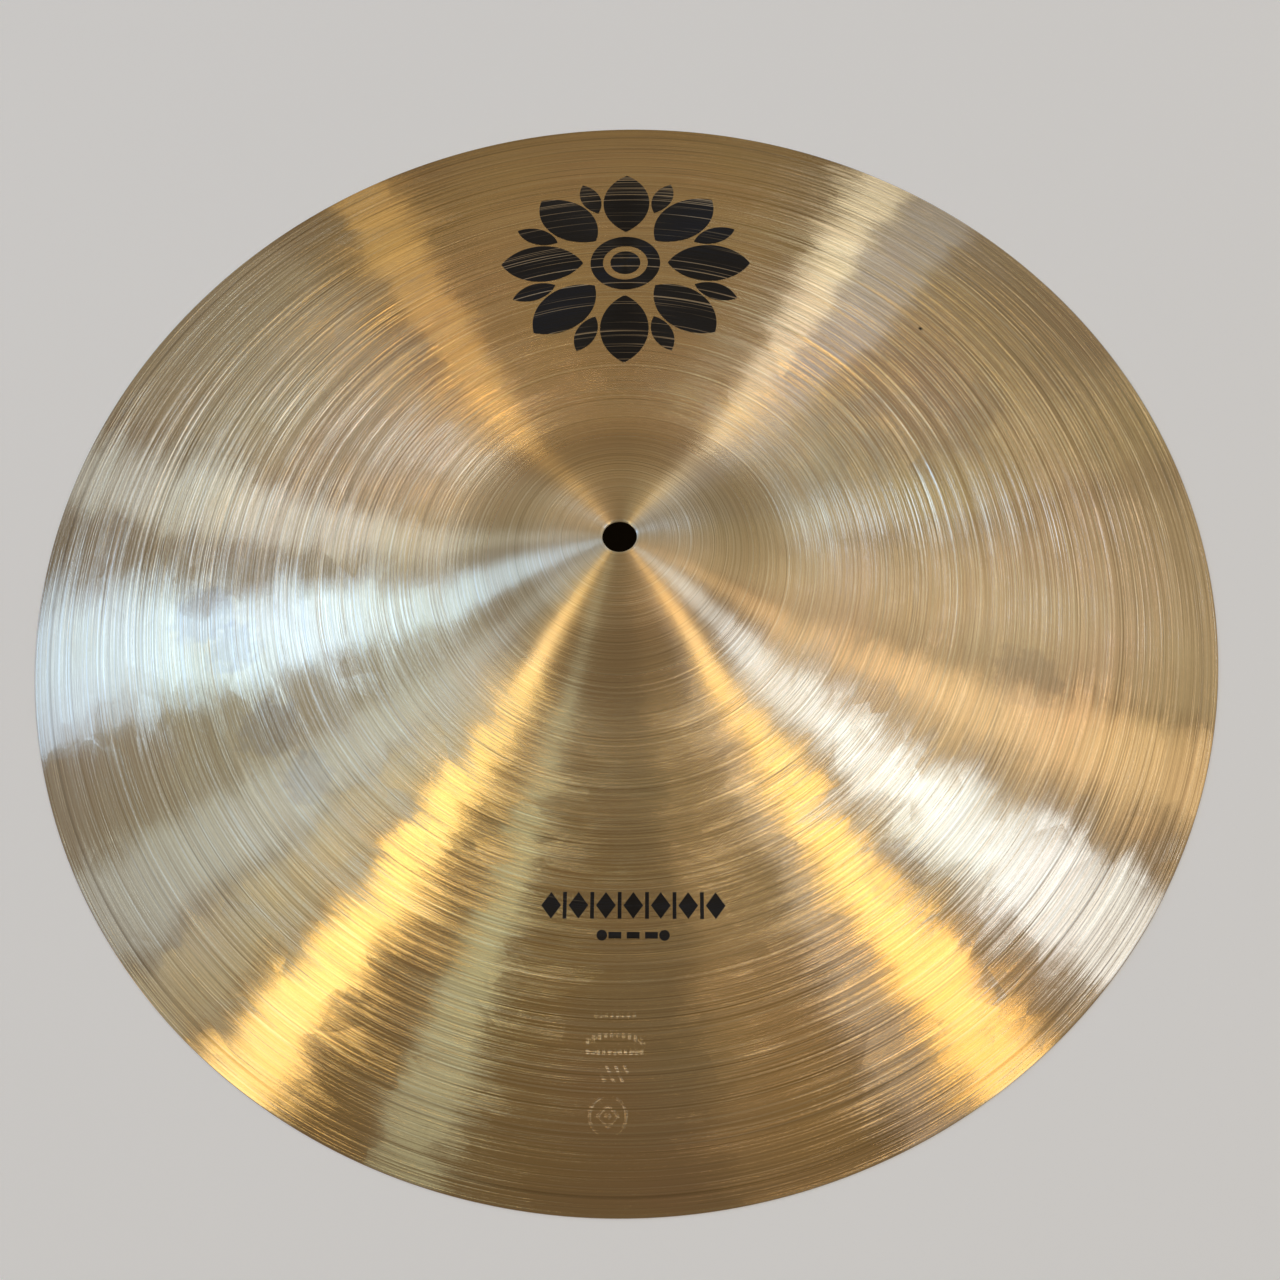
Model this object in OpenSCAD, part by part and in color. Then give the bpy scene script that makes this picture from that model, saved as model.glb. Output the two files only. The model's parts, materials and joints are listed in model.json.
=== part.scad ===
// Crash cymbal: one bronze plate, cast and turned in one piece, with ink printed on its top face.
// +Z is up. The origin is on the axis, at the level of the surface that the edge rests on.
// The emblem is towards +Y, and the two lines of the type mark are towards -Y.

/* [Plate] */
// Diameter over the edge
plate_d = 457.2; // [400:0.1:560]
// Rise of the bow at the axis, as it would be without the bell
bow_h = 17.2; // [10:0.1:30]
// Power by which the bow curves down from the axis
bow_curve = 2.7; // [2:0.1:3]
// Thickness of the plate at the edge
edge_t = 0.8; // [0.5:0.05:1.5]
// Thickness of the plate at the axis
centre_t = 1.2; // [0.8:0.05:2]

/* [Bell] */
// Diameter of the bell at its foot
bell_d = 124.4; // [100:0.2:150]
// Rise of the bell above the bow
bell_h = 19.6; // [10:0.1:25]
// Power by which the bell curves down from the axis
bell_curve = 2.2; // [2:0.1:3]
// Height over which the bell's foot rounds into the bow
bell_foot = 3.2; // [0.5:0.1:4]
// Diameter of the hole for the stand's rod
hole_d = 12.7; // [8:0.1:20]
// Chamfer at both ends of the hole
hole_chamfer = 0.25; // [0.1:0.05:0.3]

/* [Print] */
// Thickness of the printed ink
ink_t = 0.06; // [0.04:0.01:0.2]
// Distance of the emblem's centre from the axis
emblem_y = 143; // [135:1:150]
// Radius over the emblem's long petals
emblem_r = 53; // [30:1:54]
// Number of the emblem's long petals
petals = 8; // [5:1:12]
// Distance of both lines' middles to the right of the emblem's centre
lines_x = 5.5; // [-10:0.5:10]
// Distance of the first line's middle from the axis
first_line_y = 130; // [125:1:132]
// Length of the first line
first_line_w = 66; // [40:1:80]
// Height of the first line
first_line_h = 9; // [6:0.5:9]
// Distance of the second line's middle from the axis
second_line_y = 140; // [139:1:160]
// Length of the second line
second_line_w = 25; // [15:1:40]
// Height of the second line
second_line_h = 3.6; // [2:0.2:4]

/* [Hidden] */
$fn = 96;

bronze = [0.73, 0.61, 0.40];
ink = [0.10, 0.09, 0.08];

hole_r = hole_d / 2;
bell_r = bell_d / 2;
// The plate's middle surface ends here, at the centre of the edge's round
middle_r = (plate_d - edge_t) / 2;

// Rings at which the plate's section has a corner: close together on the bell, wider on the bow
first_ring = hole_r + hole_chamfer;
bell_rings = 28;
bow_rings = 27;
bow_start = bell_r * 1.2;
rings = [
    for (i = [0 : bell_rings - 1]) first_ring + (bow_start - first_ring) * i / bell_rings,
    for (i = [0 : bow_rings]) bow_start + (middle_r - bow_start) * i / bow_rings
];
edge_angles = [60 : -30 : -90];

// Height of the bell and of the bow over the edge, along the plate's middle surface
function bell_fall(r) = bell_h * (1 - pow(r / bell_r, bell_curve));
function bell_z(r) = (bell_fall(r) + sqrt(pow(bell_fall(r), 2) + pow(bell_foot, 2))) / 2;
function bow_z(r) = bow_h * (1 - pow(r / middle_r, bow_curve));
function middle_z(r) = edge_t / 2 + bow_z(r) + bell_z(r);
function thickness(r) = centre_t + (edge_t - centre_t) * r / middle_r;

// Angle of the middle surface to the horizontal, and a point at a distance off that surface
slope_step = 0.1;
function slope(r) = atan((middle_z(r + slope_step) - middle_z(r - slope_step)) / (2 * slope_step));
function off_middle(r, off) = [r - off * sin(slope(r)), middle_z(r) + off * cos(slope(r))];
function top_point(r, lift = 0) = off_middle(r, thickness(r) / 2 + lift);
function under_point(r) = off_middle(r, -thickness(r) / 2);
function backwards(list) = [for (i = [len(list) - 1 : -1 : 0]) list[i]];

// Bell, bow, rounded edge and chamfered hole, as one turned section
module cymbal_plate() {
    edge = [for (a = edge_angles) [middle_r + cos(a) * edge_t / 2, (1 + sin(a)) * edge_t / 2]];
    top = [for (r = rings) top_point(r)];
    under = [for (r = backwards(rings)) under_point(r)];
    bore = [
        [hole_r, under_point(first_ring)[1] + hole_chamfer],
        [hole_r, top_point(first_ring)[1] - hole_chamfer]
    ];
    color(bronze) rotate_extrude() polygon(concat(top, edge, under, bore));
}

// The layer of ink that lies on the bow under an outline, which is seen from above
module printed() {
    print_rings = [for (r = rings) if (r >= bow_start) r];
    under = [for (r = print_rings) top_point(r)];
    top = [for (r = backwards(print_rings)) top_point(r, ink_t)];
    color(ink) intersection() {
        rotate_extrude() polygon(concat(under, top));
        linear_extrude(height = bow_h + bell_h) children();
    }
}

// A leaf with a point at each end, along Y, where two round arcs cross
module leaf(length, width) {
    arc_r = (length * length / width + width) / 4;
    intersection_for (side = [-1, 1])
        translate([side * (arc_r - width / 2), 0]) circle(r = arc_r);
}

module leaf_ring(count, turn, from_r, to_r, width) {
    for (i = [0 : count - 1])
        rotate(turn + i * 360 / count)
            translate([0, (from_r + to_r) / 2]) leaf(to_r - from_r, width);
}

// A rosette of long and short leaves round a ring and a dot
module emblem_print() {
    petal_w = emblem_r * 0.38;
    printed() translate([0, emblem_y]) {
        circle(r = emblem_r * 0.12);
        difference() {
            circle(r = emblem_r * 0.28);
            circle(r = emblem_r * 0.18);
        }
        leaf_ring(petals, 0, emblem_r * 0.34, emblem_r, petal_w);
        leaf_ring(petals, 180 / petals, emblem_r * 0.60, emblem_r * 0.96, petal_w * 0.42);
    }
}

// A row of lozenges with an upright bar between each pair
module lozenge_row(count, width, height) {
    pitch = width / count;
    for (i = [0 : count - 1]) {
        x = (i - (count - 1) / 2) * pitch;
        translate([x, 0])
            polygon([[-pitch * 0.36, 0], [0, height / 2], [pitch * 0.36, 0], [0, -height / 2]]);
        if (i > 0) translate([x - pitch / 2, 0]) square([pitch * 0.14, height], center = true);
    }
}

module first_line_print() {
    printed() translate([lines_x, -first_line_y]) lozenge_row(7, first_line_w, first_line_h);
}

// A row of short bars between two round dots
module second_line_print() {
    bars = 3;
    bar_pitch = second_line_w / (bars + 1);
    printed() translate([lines_x, -second_line_y]) {
        for (i = [0 : bars - 1])
            translate([(i - (bars - 1) / 2) * bar_pitch, 0])
                square([bar_pitch * 0.7, second_line_h * 0.6], center = true);
        for (side = [-1, 1])
            translate([side * (second_line_w - second_line_h) / 2, 0]) circle(d = second_line_h);
    }
}

cymbal_plate();
emblem_print();
first_line_print();
second_line_print();
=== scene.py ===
"""Looks of a crash cymbal: a turned and hammered bronze plate with three ink prints on its top face."""

import json
import math

import bpy
import numpy as np
from mathutils import Matrix, Vector


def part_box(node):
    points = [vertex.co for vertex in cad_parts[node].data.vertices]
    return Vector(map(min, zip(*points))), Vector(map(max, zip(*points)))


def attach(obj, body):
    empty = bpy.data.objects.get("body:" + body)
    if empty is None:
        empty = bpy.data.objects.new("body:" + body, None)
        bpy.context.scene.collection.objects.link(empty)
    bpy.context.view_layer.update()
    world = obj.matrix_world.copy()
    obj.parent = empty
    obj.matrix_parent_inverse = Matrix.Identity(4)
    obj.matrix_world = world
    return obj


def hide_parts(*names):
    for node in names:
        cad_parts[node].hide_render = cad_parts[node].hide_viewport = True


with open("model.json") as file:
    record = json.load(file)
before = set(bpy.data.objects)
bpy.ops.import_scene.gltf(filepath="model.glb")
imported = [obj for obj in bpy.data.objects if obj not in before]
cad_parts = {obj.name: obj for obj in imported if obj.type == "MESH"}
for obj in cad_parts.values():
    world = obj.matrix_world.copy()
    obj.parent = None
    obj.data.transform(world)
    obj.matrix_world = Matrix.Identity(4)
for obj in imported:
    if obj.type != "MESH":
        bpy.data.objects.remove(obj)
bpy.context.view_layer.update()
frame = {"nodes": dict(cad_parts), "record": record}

MM = 0.001
SEED = 18

# ---------------------------------------------------------------------------------------------
# The plate's sizes. The frame gives the outer ones, and the rest shape the curve between them.
# ---------------------------------------------------------------------------------------------
mounts = {m["name"]: m for m in frame["record"]["mounts"]}
EDGE_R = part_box("cymbal_plate")[1].x
HOLE_R = mounts["centre_hole"]["dims"]["r_mm"] * MM
EDGE_T, CENTRE_T = 0.8 * MM, 1.2 * MM
MIDDLE_R = EDGE_R - EDGE_T / 2
CHAMFER = 0.25 * MM
# The plate's faces start here, outside the hole's chamfers
FIRST_R = HOLE_R + CHAMFER
BELL_R, BELL_H, BELL_CURVE, BELL_FOOT = 62.2 * MM, 19.6 * MM, 2.2, 3.2 * MM
BOW_H, BOW_CURVE = 17.2 * MM, 2.7


def middle_z(r):
    """Height of the plate's middle surface at distance r from the axis."""
    bow = BOW_H * (1 - (r / MIDDLE_R) ** BOW_CURVE)
    fall = BELL_H * (1 - (r / BELL_R) ** BELL_CURVE)
    return EDGE_T / 2 + bow + (fall + np.sqrt(fall**2 + BELL_FOOT**2)) / 2


def normal_at(r):
    """(radial, upward) parts of the middle surface's unit normal."""
    step = 0.1 * MM
    slope = (middle_z(r + step) - middle_z(r - step)) / (2 * step)
    size = np.sqrt(1 + slope**2)
    return -slope / size, 1 / size


def half_thickness(r):
    """Half of the plate's thickness, which falls evenly from the axis to the edge."""
    return (CENTRE_T + (EDGE_T - CENTRE_T) * r / MIDDLE_R) / 2


# ---------------------------------------------------------------------------------------------
# Relief of the plate, along its normal. It only goes down, so the prints lie on top of it.
# ---------------------------------------------------------------------------------------------
# The hammer's dents: pitches of their rings and along a ring, greatest depth, how far they stray
# from their ring, least and greatest radius in millimetres, how much longer they are along the
# ring, and the number of radii, across and along, past which a dent is left out
DENTS_FROM_R, DENTS_TO_R = 24 * MM, EDGE_R - 2 * MM
DENT_RING_PITCH, DENT_PITCH, DENT_DEPTH = 9 * MM, 13 * MM, 0.035 * MM
DENT_STRAY, DENT_RADII, DENT_LENGTH = 2.5 * MM, (5, 10), 1.4
DENT_CUT_ACROSS, DENT_CUT_ALONG = 2.5, 3.5
UNDER_DENT_SHARE = 0.5

# Wide grooves of the lathe: pitch and greatest depth of each set
WIDE_GROOVES = ((4.6 * MM, 0.025 * MM), (2.9 * MM, 0.018 * MM))

# The line that the lathe leaves inside the edge
LAST_LINE_R, LAST_LINE_W, LAST_LINE_DEPTH = EDGE_R - 6.2 * MM, 0.5 * MM, 0.03 * MM

# The relief fades out over these widths at the hole and at the edge
FADE_AT_HOLE, FADE_AT_EDGE = 4 * MM, 3 * MM

# The pressed-in stamp near the edge, in millimetres: rows are
# (y, width, number of strokes, how much the row bends down away from its middle)
STAMP_X, STAMP_LINE, STAMP_ROW_H = -0.5, 0.22, 1.9
STAMP_ROWS = ((-166, 15, 8, 0), (-172, 20, 10, 0.03), (-177.5, 20, 11, 0))
SLANTS_Y, SLANTS_HALF_W, SLANTS_HALF_H, SLANT_PITCH, SLANT_LEAN = -184.5, 4.5, 2.6, 3.0, 0.5
STAMP_RING_X, STAMP_RING_Y, STAMP_RING_R = -2.6, -197.6, 6.1
LOZENGE_R, DOT_R = 3.4, 0.6
STAMP_DEPTH = 0.035 * MM


def hammer_marks(radii, angles, rng):
    """Shallow dents of the hammer, laid in rings, as a grid of heights over radii and angles."""
    height = np.zeros((len(radii), len(angles)))
    for ring_r in np.arange(DENTS_FROM_R, DENTS_TO_R, DENT_RING_PITCH):
        count = int(2 * math.pi * ring_r / DENT_PITCH)
        for i in range(count):
            dent_r = ring_r + rng.normal(0, DENT_STRAY)
            dent_turn = 2 * math.pi * (i + rng.uniform(-0.4, 0.4)) / count
            size = rng.uniform(*DENT_RADII) * MM
            depth = rng.uniform(0.1, 1.0) * DENT_DEPTH
            rows = np.flatnonzero(np.abs(radii - dent_r) < DENT_CUT_ACROSS * size)
            turn = (angles - dent_turn + math.pi) % (2 * math.pi) - math.pi
            columns = np.flatnonzero(np.abs(turn) * ring_r < DENT_CUT_ALONG * size)
            if not len(rows) or not len(columns):
                continue
            away = ((radii[rows, None] - dent_r) / size) ** 2
            away = away + (turn[None, columns] * ring_r / (size * DENT_LENGTH)) ** 2
            height[np.ix_(rows, columns)] -= depth * np.exp(-away)
    return height


def lathe_grooves(radii, rng):
    """Wide grooves of the lathe and its last line, as depths over radii."""
    depth = np.zeros(len(radii))
    for pitch, deepest in WIDE_GROOVES:
        knots = rng.uniform(0, 1, int(EDGE_R / pitch) + 3)
        place = radii / pitch
        low = np.floor(place).astype(int)
        share = place - low
        share = share * share * (3 - 2 * share)
        depth += deepest * (knots[low] * (1 - share) + knots[low + 1] * share)
    last_line = np.exp(-(((radii - LAST_LINE_R) / LAST_LINE_W) ** 2))
    return depth + LAST_LINE_DEPTH * last_line


def fade(radii):
    """1 on the plate, and 0 at the hole and at the edge."""
    inner = np.clip((radii - FIRST_R) / FADE_AT_HOLE, 0, 1)
    return (inner * np.clip((MIDDLE_R - radii) / FADE_AT_EDGE, 0, 1))[:, None]


def stroke(distance, width):
    """1 on a line and 0 away from it, with soft sides."""
    return np.clip(1.5 - np.abs(distance) / width, 0, 1)


def stamp_row(x, y, row_y, row_w, count, bend):
    """A row of upright strokes. Every fourth place has a level stroke through it as well."""
    pitch = row_w / count
    place = (x - STAMP_X) / pitch + count / 2
    rise = y - row_y + bend * (x - STAMP_X) ** 2
    inside = (place > 0) & (place < count) & (np.abs(rise) < STAMP_ROW_H / 2)
    upright = stroke((place % 1 - 0.5) * pitch, STAMP_LINE)
    level = (np.floor(place) % 4 == 1) * stroke(rise, STAMP_LINE)
    return inside * np.maximum(upright, level)


def stamp_slants(x, y):
    """A row of slanted strokes."""
    lean = (x - STAMP_X) + SLANT_LEAN * (y - SLANTS_Y)
    inside = (np.abs(y - SLANTS_Y) < SLANTS_HALF_H) & (np.abs(x - STAMP_X) < SLANTS_HALF_W)
    return inside * stroke((lean % SLANT_PITCH) - SLANT_PITCH / 2, STAMP_LINE)


def stamp_ring(x, y):
    """A ring round a lozenge and a dot."""
    from_x, from_y = x - STAMP_RING_X, y - STAMP_RING_Y
    distance = np.hypot(from_x, from_y)
    ring = stroke(distance - STAMP_RING_R, STAMP_LINE)
    # 0.7 makes the distance along X or Y one that is square to a slanted side
    lozenge = stroke((np.abs(from_x) + np.abs(from_y) - LOZENGE_R) * 0.7, STAMP_LINE)
    return np.maximum(np.maximum(ring, lozenge), stroke(distance - DOT_R, STAMP_LINE))


def stamp_depth(x, y):
    """Share of the stamp's depth at points in millimetres."""
    depth = np.maximum(stamp_slants(x, y), stamp_ring(x, y))
    for row in STAMP_ROWS:
        depth = np.maximum(depth, stamp_row(x, y, *row))
    return depth


# ---------------------------------------------------------------------------------------------
# The plate's mesh: a closed section turned round the axis
# ---------------------------------------------------------------------------------------------
COARSE_COLUMNS, FINE_COLUMN_PITCH = 720, 0.25 * MM
TOP_RING_PITCH, FINE_RING_PITCH, UNDER_RING_PITCH = 0.7 * MM, 0.25 * MM, 1.5 * MM
STAMP_FROM_R, STAMP_TO_R, STAMP_HALF_W = 162 * MM, 206 * MM, 13 * MM
EDGE_ARC_STEPS = 9


def column_angles():
    """Angles of the mesh's columns: even ones, and closer ones across the stamp."""
    coarse = 2 * math.pi * np.arange(COARSE_COLUMNS) / COARSE_COLUMNS
    stamp_turn = 1.5 * math.pi
    half = STAMP_HALF_W / STAMP_FROM_R
    fine = np.arange(stamp_turn - half, stamp_turn + half, FINE_COLUMN_PITCH / STAMP_TO_R)
    kept = coarse[np.abs(coarse - stamp_turn) > half + 0.5 * (coarse[1] - coarse[0])]
    return np.sort(np.concatenate([kept, fine]))


def ring_radii():
    """Radii of the top face's rings: even ones, and closer ones across the stamp."""
    inner = np.arange(FIRST_R, STAMP_FROM_R, TOP_RING_PITCH)
    stamp = np.arange(STAMP_FROM_R, STAMP_TO_R, FINE_RING_PITCH)
    outer = np.linspace(STAMP_TO_R, MIDDLE_R, int((MIDDLE_R - STAMP_TO_R) / TOP_RING_PITCH))
    return np.concatenate([inner[:-1], stamp, outer])


def mesh_object(name, points, faces):
    """A smooth mesh object, made from points and quads."""
    mesh = bpy.data.meshes.new(name)
    mesh.vertices.add(len(points))
    mesh.vertices.foreach_set("co", np.asarray(points, np.float32).ravel())
    size = faces.shape[1]
    mesh.loops.add(faces.size)
    mesh.loops.foreach_set("vertex_index", faces.astype(np.int32).ravel())
    mesh.polygons.add(len(faces))
    mesh.polygons.foreach_set("loop_start", np.arange(0, faces.size, size, dtype=np.int32))
    mesh.update(calc_edges=True)
    mesh.validate()
    mesh.polygons.foreach_set("use_smooth", np.ones(len(faces), bool))
    made = bpy.data.objects.new(name, mesh)
    bpy.context.scene.collection.objects.link(made)
    return made


def grid_faces(rows, columns):
    """Quads of a grid that closes on itself both ways, with its outer side facing out."""
    i, j = np.meshgrid(np.arange(rows), np.arange(columns), indexing="ij")
    i2, j2 = (i + 1) % rows, (j + 1) % columns
    quads = np.stack([i * columns + j, i2 * columns + j, i2 * columns + j2, i * columns + j2], -1)
    return quads.reshape(-1, 4)


def face_points(radii, side, depth):
    """(radius, height) grids of one face of the plate, pushed in by a grid of depths."""
    across, up = normal_at(radii)
    off = side * (half_thickness(radii)[:, None] - depth)
    return radii[:, None] + off * across[:, None], middle_z(radii)[:, None] + off * up[:, None]


def both_faces(angles):
    """(radius, height) grids of the top face and of the underside, with their relief."""
    rng = np.random.default_rng(SEED)
    top_r = ring_radii()
    under_r = np.linspace(MIDDLE_R, FIRST_R, int((MIDDLE_R - FIRST_R) / UNDER_RING_PITCH))
    dents = hammer_marks(top_r, angles, rng)
    under_dents = np.stack([np.interp(under_r, top_r, column) for column in dents.T], -1)
    top_depth = (lathe_grooves(top_r, rng)[:, None] - dents) * fade(top_r)
    stamp_at = np.cos(angles) * top_r[:, None] / MM, np.sin(angles) * top_r[:, None] / MM
    top_depth = top_depth + stamp_depth(*stamp_at) * STAMP_DEPTH
    under_depth = lathe_grooves(under_r, rng)[:, None] - UNDER_DENT_SHARE * under_dents
    return face_points(top_r, 1, top_depth), face_points(under_r, -1, under_depth * fade(under_r))


def edge_points(angles):
    """(radius, height) grids of the rounded edge."""
    across, up = normal_at(np.array([MIDDLE_R]))
    start = math.atan2(up[0], across[0])
    turn = np.linspace(start, start - math.pi, EDGE_ARC_STEPS + 2)[1:-1, None] + 0 * angles
    return MIDDLE_R + EDGE_T / 2 * np.cos(turn), EDGE_T / 2 * (1 + np.sin(turn))


def build_plate():
    """The whole plate: top face, edge, underside, and the hole's wall between two chamfers."""
    angles = column_angles()
    top, under = both_faces(angles)
    edge = edge_points(angles)
    bore_z = np.array([under[1][-1].mean() + CHAMFER, top[1][0].mean() - CHAMFER])
    bore = (np.full((2, len(angles)), HOLE_R), bore_z[:, None] + 0 * angles)
    radius, height = (np.concatenate([top[k], edge[k], under[k], bore[k]]) for k in (0, 1))
    points = np.stack([radius * np.cos(angles), radius * np.sin(angles), height], -1)
    return mesh_object("bronze_plate", points.reshape(-1, 3), grid_faces(*radius.shape))


# ---------------------------------------------------------------------------------------------
# Materials
# ---------------------------------------------------------------------------------------------
class Nodes:
    """Short calls that add nodes to a material and link them."""

    def __init__(self, name):
        self.material = bpy.data.materials.new(name)
        self.material.use_nodes = True
        self.tree = self.material.node_tree
        self.tree.nodes.clear()

    def add(self, kind, *inputs, **settings):
        """A node, with its first sockets set or linked, and its settings."""
        node = self.tree.nodes.new("ShaderNode" + kind)
        for key, value in settings.items():
            setattr(node, key, value)
        for socket, value in zip(node.inputs, inputs):
            self.put(socket, value)
        return node

    def put(self, socket, value):
        """Link a socket to another node's, or set it. None leaves it as it is."""
        if value is None:
            return
        if isinstance(value, bpy.types.NodeSocket):
            self.tree.links.new(value, socket)
        else:
            socket.default_value = value

    def math(self, operation, *values):
        return self.add("Math", *values, operation=operation).outputs[0]

    def vector(self, operation, *values):
        return self.add("VectorMath", *values, operation=operation).outputs[0]

    def length(self, vector):
        return self.add("VectorMath", vector, operation="LENGTH").outputs["Value"]

    def total(self, first, *others):
        """The sum of all the values."""
        for value in others:
            first = self.math("ADD", first, value)
        return first

    def product(self, *values):
        return self.math("MULTIPLY", *values)

    def cloud(self, vector, scale, detail=3.0):
        """Noise in space, from 0 to 1."""
        node = self.add("TexNoise", noise_dimensions="3D")
        self.put(node.inputs["Vector"], vector)
        self.put(node.inputs["Scale"], scale)
        self.put(node.inputs["Detail"], detail)
        return node.outputs[0]

    def spread(self, value, low, high, to_low=0.0, to_high=1.0):
        """value moved from one range to another, and held inside it."""
        return self.add("MapRange", value, low, high, to_low, to_high).outputs[0]

    def falling(self, value, low, high):
        """1 where value is below low, falling to 0 at high."""
        return self.spread(value, low, high, 1, 0)

    def blend(self, share, first, second):
        """The first colour, with a share of the second."""
        node = self.add("Mix", data_type="RGBA")
        self.put(node.inputs[0], share)
        self.put(node.inputs[6], first)
        self.put(node.inputs[7], second)
        return node.outputs[2]

    def finish(self, shader):
        """Give the material its surface, and return it."""
        output = self.add("OutputMaterial")
        self.tree.links.new(shader.outputs[0], output.inputs[0])
        return self.material


# Grooves of the lathe: how many a millimetre across and along them, and their tilt in radians
GROOVES = (
    (0.35, 0.0008, 0.05),
    (1.1, 0.0008, 0.05),
    (2.6, 0.0015, 0.12),
    (5.5, 0.003, 0.25),
    (12.0, 0.02, 0.32),
    (4.0, 1.5, 0.06),
)

# The bell's side looks steeper than its section in the first of these zones, and its foot flatter
# in the second: distances from the axis in millimetres where a zone starts, is full, fades and
# ends, and the tilt away from the axis in radians
FOOT_TILTS = ((28, 38, 44, 53, 0.17), (51, 58, 60, 68, -0.13))

# Changes of direction round the axis, from the hammer: waves and flat patches, with how many there
# are a millimetre across and along the grooves, and their tilt in radians
WAVES = ((0.08, 0.05, 0.003), (3.0, 0.8, 0.003))
PATCHES = ((0.07, 0.045, 0.0022), (0.16, 0.09, 0.0018))

# Colours of the bronze, from the metal to what lies on it; the third row also holds a painted shade that
# darkens the bell towards the hole, and a painted highlight on the hole's rim
GOLDEN, TAN, GREENISH = (0.80, 0.62, 0.35, 1), (0.80, 0.58, 0.38, 1), (0.72, 0.64, 0.42, 1)
PALE_LINE, DARK_LINE, LAST_LINE = (0.95, 0.84, 0.62, 1), (0.34, 0.24, 0.12, 1), (0.30, 0.21, 0.12, 1)
EDGE_TARNISH, HOLE_PAINTED_SHADE, HOLE_RIM_HIGHLIGHT = (0.55, 0.42, 0.27, 1), (0.40, 0.30, 0.18, 1), (0.95, 0.88, 0.70, 1)
SMUDGE, SPECK = (0.40, 0.33, 0.27, 1), (0.10, 0.07, 0.05, 1)
INK = (0.012, 0.010, 0.009, 1)

# Smudges on the top face, in millimetres: (x, y, radius). Each fades over SMUDGE_SOFT.
SMUDGES = ((-146, -33, 7), (-159, -19, 9), (-128, -65, 8), (150, -46, 10), (-112, -84, 6), (96, -118, 8))
SMUDGE_SOFT, SMUDGE_SHARE = 5, 0.30

# The speck: x, y, radius and soft border in millimetres
SPECK_AT = (123, 110, 0.5, 0.6)


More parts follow.
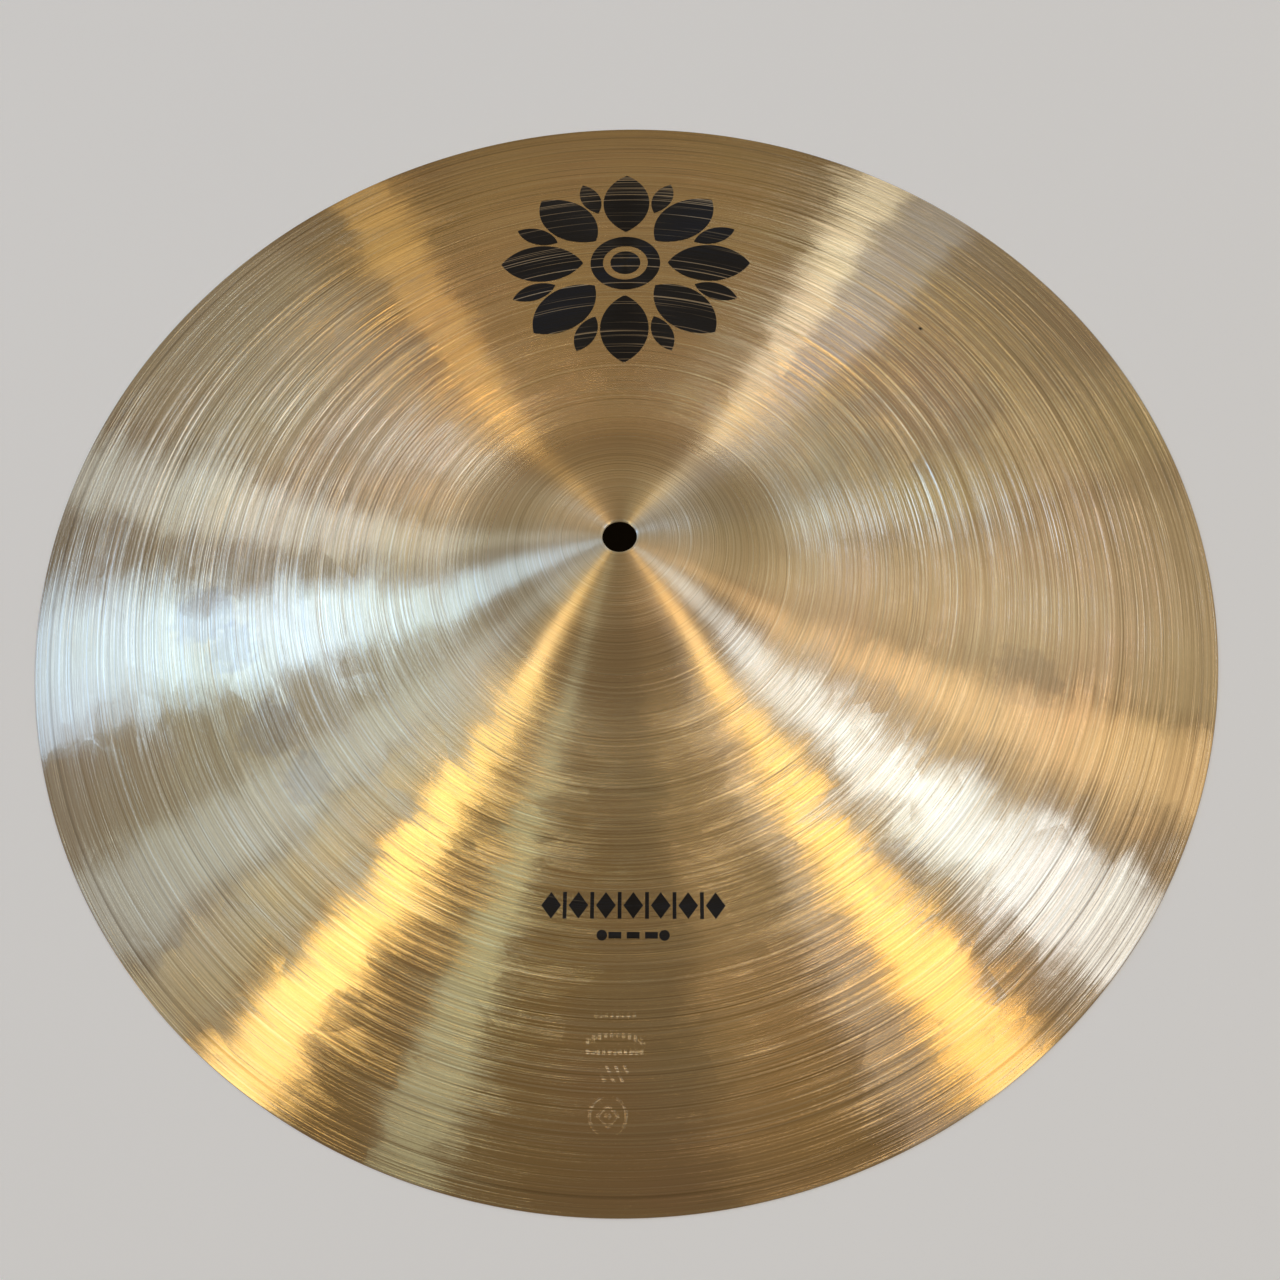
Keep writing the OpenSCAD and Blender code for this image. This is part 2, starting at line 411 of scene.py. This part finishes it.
class Turned(Nodes):
    """A material that knows how far each point is from the axis, and which way."""

    def __init__(self, name):
        super().__init__(name)
        self.place = self.add("TexCoord").outputs["Object"]
        self.place_mm = self.vector("MULTIPLY", self.place, (1 / MM, 1 / MM, 1 / MM))
        self.flat_mm = self.vector("MULTIPLY", self.place_mm, (1, 1, 0))
        self.r_mm = self.length(self.flat_mm)
        self.outward = self.vector("NORMALIZE", self.flat_mm)
        self.sideways = self.vector("CROSS_PRODUCT", (0, 0, 1), self.outward)

    def ring_space(self, across, along):
        """Coordinates in which ring-shaped features are one unit long and wide."""
        level = self.vector("MULTIPLY", self.place_mm, (along, along, 0))
        rise = self.add("CombineXYZ", 0.0, 0.0, self.product(self.r_mm, across))
        return self.vector("ADD", level, rise.outputs[0])

    def rings(self, across, along, detail=1.0):
        """Noise of ring-shaped streaks: across and along are how many there are a millimetre."""
        return self.cloud(self.ring_space(across, along), 1.0, detail)

    def tilted_normal(self, outward_tilt, sideways_tilt):
        """The surface's normal, tilted away from the axis and round it."""
        normal = self.add("NewGeometry").outputs["Normal"]
        for direction, tilt in ((self.outward, outward_tilt), (self.sideways, sideways_tilt)):
            push = self.add("VectorMath", direction, operation="SCALE")
            self.put(push.inputs["Scale"], tilt)
            normal = self.vector("ADD", normal, push.outputs[0])
        return self.vector("NORMALIZE", normal)

    def wave(self, noise, tilt):
        """A noise as a tilt either way: most of it stays within the given number of radians."""
        return self.product(self.math("SUBTRACT", noise, 0.5), tilt * 4)

    def zone(self, start, full, fading, end):
        """1 between two distances from the axis, in millimetres, and 0 well inside and outside."""
        return self.product(self.spread(self.r_mm, start, full), self.falling(self.r_mm, fading, end))

    def groove_tilt(self):
        """Tilt away from the axis: the grooves' slopes, and what the bell's foot adds."""
        grooves = [self.wave(self.rings(across, along), tilt) for across, along, tilt in GROOVES]
        foot = [self.product(self.zone(*zone), tilt) for *zone, tilt in FOOT_TILTS]
        return self.total(*grooves, self.total(*foot))

    def patches(self, across, along):
        """Flat patches with sharp borders: across and along are how many there are a millimetre."""
        node = self.add("TexVoronoi", self.ring_space(across, along), feature="F1")
        self.put(node.inputs["Scale"], 1.0)
        return self.add("SeparateColor", node.outputs["Color"]).outputs[0]

    def patch_tilt(self):
        """Small changes of direction round the axis, in patches as wide as a hammer's mark."""
        waves = [self.wave(self.rings(across, along), tilt) for across, along, tilt in WAVES]
        flats = [self.wave(self.patches(across, along), tilt) for across, along, tilt in PATCHES]
        return self.total(*waves, *flats)

    def principled(self, colour, metallic, roughness):
        """A shader whose reflections are drawn out across the grooves."""
        shader = self.add("BsdfPrincipled")
        self.put(shader.inputs["Base Color"], colour)
        self.put(shader.inputs["Metallic"], metallic)
        self.put(shader.inputs["Roughness"], roughness)
        shader.inputs["Anisotropic"].default_value = 1.0
        shader.inputs["Anisotropic Rotation"].default_value = 0.25
        tangent = self.add("Tangent", direction_type="RADIAL", axis="Z").outputs[0]
        self.put(shader.inputs["Tangent"], tangent)
        self.put(shader.inputs["Normal"], self.tilted_normal(self.groove_tilt(), self.patch_tilt()))
        return shader

    def spot(self, x, y, radius, edge):
        """1 within radius of a point on the top face, fading over edge, with a ragged outline.
        All are in millimetres."""
        distance = self.length(self.vector("SUBTRACT", self.flat_mm, (x, y, 0)))
        ragged = self.product(self.math("SUBTRACT", self.cloud(self.place, 220.0), 0.5), edge * 3)
        share = self.falling(self.total(distance, ragged), radius, radius + edge)
        facing_up = self.add("SeparateXYZ", self.add("NewGeometry").outputs["Normal"]).outputs["Z"]
        return self.product(share, self.spread(facing_up, 0, 0.5))

    def metal_colour(self):
        """Clean bronze, in broad clouds of three colours, with pale and dark lines of the lathe."""
        colour = self.blend(self.spread(self.cloud(self.place, 9.0), 0.35, 0.65), GOLDEN, TAN)
        colour = self.blend(self.spread(self.cloud(self.place, 5.0), 0.5, 0.75), colour, GREENISH)
        pale_lines = self.spread(self.rings(1.2, 0.001), 0.52, 0.66, 0, 0.45)
        colour = self.blend(pale_lines, colour, PALE_LINE)
        dark_lines = self.spread(self.rings(1.7, 0.001, 3.0), 0.52, 0.68, 0, 0.4)
        return self.blend(dark_lines, colour, DARK_LINE)

    def bronze_colour(self):
        """Bronze with tarnish towards the edge, painted shade towards the hole and a painted highlight on
        the hole's rim, all by distance from the axis in millimetres, with smudges and a speck.
        """
        colour = self.blend(self.spread(self.r_mm, 175, 225, 0, 0.45), self.metal_colour(), EDGE_TARNISH)
        # Painted shade: the bell is darkened towards the hole, standing in for its dimmer reflections
        colour = self.blend(self.spread(self.r_mm, 8, 50, 0.3, 0), colour, HOLE_PAINTED_SHADE)
        # Painted highlight: a pale ring on the hole's chamfer and wall
        colour = self.blend(self.falling(self.r_mm, 6.5, 6.9), colour, HOLE_RIM_HIGHLIGHT)
        off_line = self.math("ABSOLUTE", self.math("SUBTRACT", self.r_mm, LAST_LINE_R / MM))
        colour = self.blend(self.spread(off_line, 0.2, 0.7, 0.4, 0), colour, LAST_LINE)
        for x, y, radius in SMUDGES:
            smudge = self.product(self.spot(x, y, radius, SMUDGE_SOFT), SMUDGE_SHARE)
            colour = self.blend(smudge, colour, SMUDGE)
        return self.blend(self.spot(*SPECK_AT), colour, SPECK)


def bronze_material():
    """Turned bronze, rougher on the bell."""
    m = Turned("turned_bronze")
    roughness = m.spread(m.r_mm, 8, 110, 0.36, 0.15)
    return m.finish(m.principled(m.bronze_colour(), 1.0, roughness))


def ink_material(name, wear):
    """Black ink through which the highest ridges of the lathe show: wear is how much of them."""
    m = Turned(name)
    at_outer_end = m.spread(m.r_mm, 172, 194, 0, wear * 2)
    height = m.total(m.rings(1.5, 0.006, 3.0), at_outer_end)
    ridges = m.spread(height, 0.66 - wear, 0.74 - wear, 0, 0.6)
    colour = m.blend(ridges, INK, m.bronze_colour())
    shader = m.principled(colour, ridges, m.spread(ridges, 0, 1, 0.55, 0.24))
    shader.inputs["Specular IOR Level"].default_value = 0.3
    return m.finish(shader)


# The floor's colours, and how much it glows near the plate and far away
FLOOR_PALES = (0.80, 0.80, 0.79, 1), (0.84, 0.84, 0.83, 1)
# The near-black is a painted shadow on the floor under the plate, and the base colour of the far floor,
# which only glows
FLOOR_DARK = (0.004, 0.004, 0.004, 1)
NEAR_GLOW_COLOUR, FAR_GLOW_COLOUR = (0.9, 0.93, 1.0, 1), (1.0, 0.98, 0.96, 1)
NEAR_GLOW, FAR_GLOW_ADDED = 0.17, 0.44

# Distances from the axis, in metres: inside the plate's edge the floor is painted dark as shadow, turning
# pale under the edge, and between the two far ones it turns from a lit floor into one that only glows
PALE_FROM_R, PALE_TO_R = EDGE_R - 60 * MM, EDGE_R
FAR_FROM_R, FAR_TO_R = 1, 5


def floor_material():
    """A pale floor that glows a little, has a painted dark shadow under the plate, and isn't seen from
    below.
    """
    n = Nodes("pale_floor")
    place = n.add("TexCoord").outputs["Object"]
    from_axis = n.length(place)
    beyond_plate = n.spread(from_axis, PALE_FROM_R, PALE_TO_R)
    far = n.spread(from_axis, FAR_FROM_R, FAR_TO_R)
    # Painted shadow: the floor is near-black under the plate, where the hole looks down onto it
    near_colour = n.blend(beyond_plate, FLOOR_DARK, n.blend(n.cloud(place, 3.0), *FLOOR_PALES))
    glow = n.total(n.product(beyond_plate, NEAR_GLOW), n.product(far, FAR_GLOW_ADDED))
    shader = n.add("BsdfPrincipled")
    n.put(shader.inputs["Base Color"], n.blend(far, near_colour, FLOOR_DARK))
    shader.inputs["Roughness"].default_value = 0.9
    n.put(shader.inputs["Emission Color"], n.blend(far, NEAR_GLOW_COLOUR, FAR_GLOW_COLOUR))
    n.put(shader.inputs["Emission Strength"], glow)
    below = n.add("NewGeometry").outputs["Backfacing"]
    clear = n.add("BsdfTransparent").outputs[0]
    return n.finish(n.add("MixShader", below, shader.outputs[0], clear))


def put_material(thing, material):
    thing.data.materials.clear()
    thing.data.materials.append(material)


# ---------------------------------------------------------------------------------------------
# Camera, room and light
# ---------------------------------------------------------------------------------------------
# The camera: its turn round the axis, its look downwards and its roll in degrees, its place before
# that turn in millimetres, and its lens over a sensor that is 36 mm wide
HEADING, PITCH, ROLL = 2.8, 67.49, -2.68
CAMERA_PLACE = (5.7, -214.7, 455.9)
LENS, SENSOR = 36.06, 36.0


def add_camera():
    """The view from above the near edge."""
    pitch, roll = math.radians(PITCH), math.radians(ROLL)
    forward = Vector((0, math.cos(pitch), -math.sin(pitch)))
    right = Vector((1, 0, 0))
    up = right.cross(forward)
    rolled_right = math.cos(roll) * right + math.sin(roll) * up
    rolled_up = -math.sin(roll) * right + math.cos(roll) * up
    axes = Matrix((rolled_right, rolled_up, -forward)).transposed().to_4x4()
    data = bpy.data.cameras.new("camera")
    data.lens, data.sensor_width = LENS, SENSOR
    camera = bpy.data.objects.new("camera", data)
    place = Matrix.Translation(Vector(CAMERA_PLACE) * MM)
    camera.matrix_world = Matrix.Rotation(math.radians(HEADING), 4, "Z") @ place @ axes
    bpy.context.scene.collection.objects.link(camera)
    bpy.context.scene.camera = camera


# The room, in metres: a round floor, the bend from floor to wall, and a ceiling
FLOOR_R, WALL_BEND_R, CEILING_H = 9.0, 4.0, 12.0
ROOM_SIDES, BEND_POINTS = 64, 9


def add_room():
    """A round pale floor that bends up into a wall, well outside the lights, and a ceiling. Only
    the camera sees it."""
    bend = np.linspace(0, math.pi / 2, BEND_POINTS)
    wall_r = FLOOR_R + WALL_BEND_R
    radius = np.concatenate([[MM], FLOOR_R + WALL_BEND_R * np.sin(bend), [wall_r, MM]])[:, None]
    height = np.concatenate([[0], WALL_BEND_R * (1 - np.cos(bend)), [CEILING_H, CEILING_H]])[:, None]
    turn = 2 * math.pi * np.arange(ROOM_SIDES) / ROOM_SIDES
    points = np.stack([radius * np.cos(turn), radius * np.sin(turn), height + 0 * turn], -1)
    faces = grid_faces(len(radius), ROOM_SIDES)[:-ROOM_SIDES]
    floor = mesh_object("floor", points.reshape(-1, 3), faces)
    put_material(floor, floor_material())
    floor.visible_glossy = False
    floor.visible_diffuse = False
    floor.visible_shadow = False


# Each light is a narrow wedge of the sky that points at the direction which a level plate mirrors
# into the camera. The turned grooves draw it out into one ray of light from the hole to the edge.
# A wedge has three steps, which lie between these distances from the mirrored direction, as level
# parts of unit vectors. HIGH wedges are strongest near it, and LOW ones further down.
MIRROR_X, MIRROR_Y = -0.032, 0.429
WEDGE_STEPS = (0.06, 0.30, 0.60, 1.10)
HIGH, LOW = (1.5, 0.85, 0.6), (0.9, 1.4, 0.7)
LOWEST_SKY = 0.02
PANEL_DISTANCE = 8.0

# Turn round the mirrored direction and width in degrees, radiance, and the steps' strengths
WEDGES = (
    (12, 9, (0.25, 0.26, 0.20), LOW),
    (30, 30, (0.13, 0.14, 0.14), LOW),
    (46, 9, (0.22, 0.30, 0.50), LOW),
    (54, 6, (0.85, 0.92, 0.95), LOW),
    (90, 60, (0.10, 0.08, 0.04), LOW),
    (127, 8, (0.40, 0.29, 0.12), LOW),
    (152, 30, (0.19, 0.21, 0.22), LOW),
    (174, 8, (0.60, 0.80, 1.10), LOW),
    (193, 12, (0.9, 1.6, 3.1), HIGH),
    (203, 44, (0.19, 0.26, 0.34), HIGH),
    (216, 9, (0.33, 0.50, 0.78), HIGH),
    (226, 7, (0.45, 0.52, 0.5), HIGH),
    (235, 7, (2.6, 2.0, 0.8), HIGH),
    (251, 6, (0.5, 0.66, 0.66), HIGH),
    (287, 14, (0.15, 0.11, 0.06), HIGH),
    (299, 6, (0.45, 0.45, 0.52), HIGH),
    (307, 7, (2.6, 1.75, 0.55), HIGH),
    (322.5, 10, (1.4, 1.9, 2.85), HIGH),
    (330, 46, (0.24, 0.22, 0.18), HIGH),
    (338, 8, (0.85, 0.68, 0.46), HIGH),
    (356, 18, (0.40, 0.40, 0.34), HIGH),
)

# Light from everywhere else, like that of a dim warm room
AMBIENT = (0.18, 0.14, 0.09)


def sky_direction(reach, turn):
    """The unit vector whose level part is reach away from the mirror direction's, turned about it."""
    x = MIRROR_X + reach * math.cos(turn)
    y = MIRROR_Y + reach * math.sin(turn)
    return Vector((x, y, math.sqrt(max(LOWEST_SKY, 1 - x * x - y * y)))).normalized()


def place_light(name, place, along, length, width, radiance):
    """A rectangular soft box at place that faces the plate, with its length in one direction."""
    data = bpy.data.lights.new(name, "AREA")
    data.shape = "RECTANGLE"
    data.size, data.size_y = length, width
    strength = max(radiance)
    data.color = [c / strength for c in radiance]
    data.energy = strength * math.pi * length * width
    panel = bpy.data.objects.new(name, data)
    back = place.normalized()
    along = (along - along.dot(back) * back).normalized()
    axes = Matrix((along, back.cross(along), back)).transposed().to_4x4()
    panel.matrix_world = Matrix.Translation(place) @ axes
    panel.visible_camera = False
    bpy.context.scene.collection.objects.link(panel)


def add_panel(name, turn, width_angle, near_reach, far_reach, radiance):
    """One step of a wedge."""
    near = sky_direction(near_reach, turn) * PANEL_DISTANCE
    far = sky_direction(far_reach, turn) * PANEL_DISTANCE
    middle_reach = (near_reach + far_reach) / 2
    middle = sky_direction(middle_reach, turn) * PANEL_DISTANCE
    side = sky_direction(middle_reach, turn + width_angle / 2) * PANEL_DISTANCE
    place_light(name, middle, far - near, (far - near).length, 2 * (side - middle).length, radiance)


# Soft strips that the main view hardly sees: turn round the axis, lowest and highest elevation
# in degrees. They light the plate's far side and its underside for whoever walks round it.
STRIPS = ((216, 12, 46), (322, 12, 46), (60, -60, -15), (200, -60, -15))
STRIP_WIDTH, STRIP_RADIANCE = 9, (1.5, 1.35, 1.05)


def add_strip(name, turn, lowest, highest):
    """A tall soft box that faces the plate."""
    middle = math.radians((lowest + highest) / 2)
    tall = 2 * PANEL_DISTANCE * math.tan(math.radians(highest - lowest) / 2)
    wide = 2 * PANEL_DISTANCE * math.tan(math.radians(STRIP_WIDTH) / 2)
    level = math.cos(middle)
    back = Vector((level * math.cos(turn), level * math.sin(turn), math.sin(middle)))
    side = Vector((-math.sin(turn), math.cos(turn), 0))
    place_light(name, back * PANEL_DISTANCE, side, wide, tall, STRIP_RADIANCE)


def add_lights():
    """All strips, and the three steps of each wedge."""
    for i, (turn, lowest, highest) in enumerate(STRIPS):
        add_strip(f"strip_{i}", math.radians(turn), lowest, highest)
    for i, (turn, width, colour, strengths) in enumerate(WEDGES):
        for j, strength in enumerate(strengths):
            radiance = [strength * c for c in colour]
            steps = WEDGE_STEPS[j], WEDGE_STEPS[j + 1]
            add_panel(f"panel_{i}_{j}", math.radians(turn), math.radians(width), *steps, radiance)


def add_world():
    world = bpy.data.worlds.new("studio")
    world.use_nodes = True
    world.node_tree.nodes["Background"].inputs[0].default_value = (*AMBIENT, 1)
    bpy.context.scene.world = world


# ---------------------------------------------------------------------------------------------
# The whole scene
# ---------------------------------------------------------------------------------------------
add_camera()
add_room()
add_world()
add_lights()
bpy.context.scene.view_settings.view_transform = "Standard"

plate = build_plate()
put_material(plate, bronze_material())
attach(plate, "root")
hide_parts("cymbal_plate")

put_material(frame["nodes"]["emblem_print"], ink_material("emblem_ink", 0.05))
line_ink = ink_material("line_ink", 0.0)
for line in ("first_line_print", "second_line_print"):
    put_material(frame["nodes"][line], line_ink)
